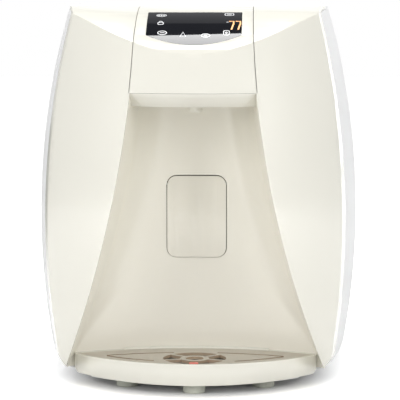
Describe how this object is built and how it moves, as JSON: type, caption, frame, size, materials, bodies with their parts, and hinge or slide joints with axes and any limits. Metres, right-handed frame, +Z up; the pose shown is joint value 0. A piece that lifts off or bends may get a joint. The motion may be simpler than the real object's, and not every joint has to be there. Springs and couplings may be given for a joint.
{
  "type": "countertop water cooler",
  "caption": "Barrel-shaped countertop water cooler with a flared cup niche, touch panel, push pad, spout, pull-out drip tray with grille and float, and compressor cooling inside.",
  "frame": {"origin": "on the floor, under the middle of the body's width and depth", "axes": "+X to the viewer's right, +Y to the back, +Z up; the cup niche faces -Y"},
  "size_m": [0.3314, 0.402, 0.38],
  "materials": {
    "ivory_shell": "glossy moulded ivory plastic",
    "niche_beige": "satin moulded ivory plastic",
    "grille_beige": "fine matte plastic",
    "rear_grey": "glossy light grey plastic",
    "black_glass": "glossy black touch panel",
    "circuit_board": "green solder mask",
    "white_plastic": "moulded white plastic",
    "white_hose": "soft food-safe hose",
    "dark_plastic": "moulded black plastic",
    "grey_plastic": "moulded grey plastic",
    "steel": "stainless steel",
    "zinc_sheet": "zinc-plated sheet steel",
    "red_plastic": "red plastic",
    "foot_rubber": "pale grey rubber",
    "dark_rubber": "black rubber",
    "black_enamel": "black enamelled steel",
    "bright_aluminium": "bare aluminium fins",
    "copper_line": "bare copper tube",
    "white_foam": "rigid foam",
    "blue_plastic": "moulded blue plastic"
  },
  "bodies": {
    "cabinet": {"left_cheek": "ivory_shell", "right_cheek": "ivory_shell", "head_cover": "ivory_shell", "spout_housing": "ivory_shell", "niche_liner": "niche_beige", "rear_housing": "rear_grey", "rear_panel": "rear_grey", "control_glass": "black_glass", "touch_board": "circuit_board", "control_board": "circuit_board", "spout_nozzle": "white_plastic", "valve_block": "white_plastic", "cold_lid": "white_plastic", "hot_lid": "white_plastic", "filter_cartridge": "white_plastic", "inlet_fitting": "white_plastic", "drain_spigot": "white_plastic", "inlet_hose": "white_hose", "feed_hose": "white_hose", "transfer_hose": "white_hose", "cold_hose": "white_hose", "hot_hose": "white_hose", "drain_hose": "white_hose", "valve_coils": "dark_plastic", "pad_switch": "dark_plastic", "fan_frame": "dark_plastic", "power_inlet": "dark_plastic", "switch_bezel": "dark_plastic", "pad_bracket": "grey_plastic", "base_pan": "grey_plastic", "pad_pin": "steel", "pad_spring": "steel", "panel_screws": "steel", "cold_tank": "steel", "hot_tank": "steel", "tank_shelf": "zinc_sheet", "power_supply": "zinc_sheet", "front_feet": "foot_rubber", "rear_feet": "foot_rubber", "compressor_grommets": "dark_rubber", "compressor": "black_enamel", "condenser": "bright_aluminium", "discharge_line": "copper_line", "suction_line": "copper_line", "cold_jacket": "white_foam", "hot_jacket": "white_foam", "filter_head": "blue_plastic"},
    "pad": {"push_pad": "niche_beige"},
    "plunger": {"switch_plunger": "red_plastic"},
    "tray": {"drip_tray": "ivory_shell"},
    "grille": {"drip_grille": "grille_beige"},
    "float": {"tray_float": "red_plastic"},
    "fan": {"fan_rotor": "dark_plastic"},
    "rocker": {"power_rocker": "red_plastic"},
    "cap": {"drain_cap": "dark_rubber"}
  },
  "joints": [
    {"name": "pad_press", "type": "hinge", "parent": "cabinet", "child": "pad", "pos_m": [0, -0.075, 0.2], "axis": [1, 0, 0], "range_deg": [0, 5], "stiffness_Nm_per_rad": 0.6, "springref_deg": -2.86, "deforming": ["pad_spring"]},
    {"name": "plunger_press", "type": "slide", "parent": "cabinet", "child": "plunger", "axis": [0, 1, 0], "range_m": [0, 0.0022]},
    {"name": "tray_pull", "type": "slide", "parent": "cabinet", "child": "tray", "axis": [0, -1, 0], "range_m": [0, 0.11]},
    {"name": "grille_lift", "type": "slide", "parent": "tray", "child": "grille", "axis": [0, 0, 1], "range_m": [0, 0.007]},
    {"name": "float_rise", "type": "slide", "parent": "tray", "child": "float", "axis": [0, 0, 1], "range_m": [0, 0.005]},
    {"name": "fan_spin", "type": "hinge", "parent": "cabinet", "child": "fan", "pos_m": [0.059, 0.1068, 0.0955], "axis": [0, 1, 0], "continuous": true},
    {"name": "rocker_tilt", "type": "hinge", "parent": "cabinet", "child": "rocker", "pos_m": [-0.09, 0.1867, 0.1065], "axis": [-1, 0, 0], "range_deg": [0, 16]},
    {"name": "cap_pull", "type": "slide", "parent": "cabinet", "child": "cap", "axis": [0, 1, 0], "range_m": [0, 0.015]}
  ],
  "couplings": [
    {"joint": "plunger_press", "follows": "pad_press", "m_per_rad": 0.022}
  ]
}
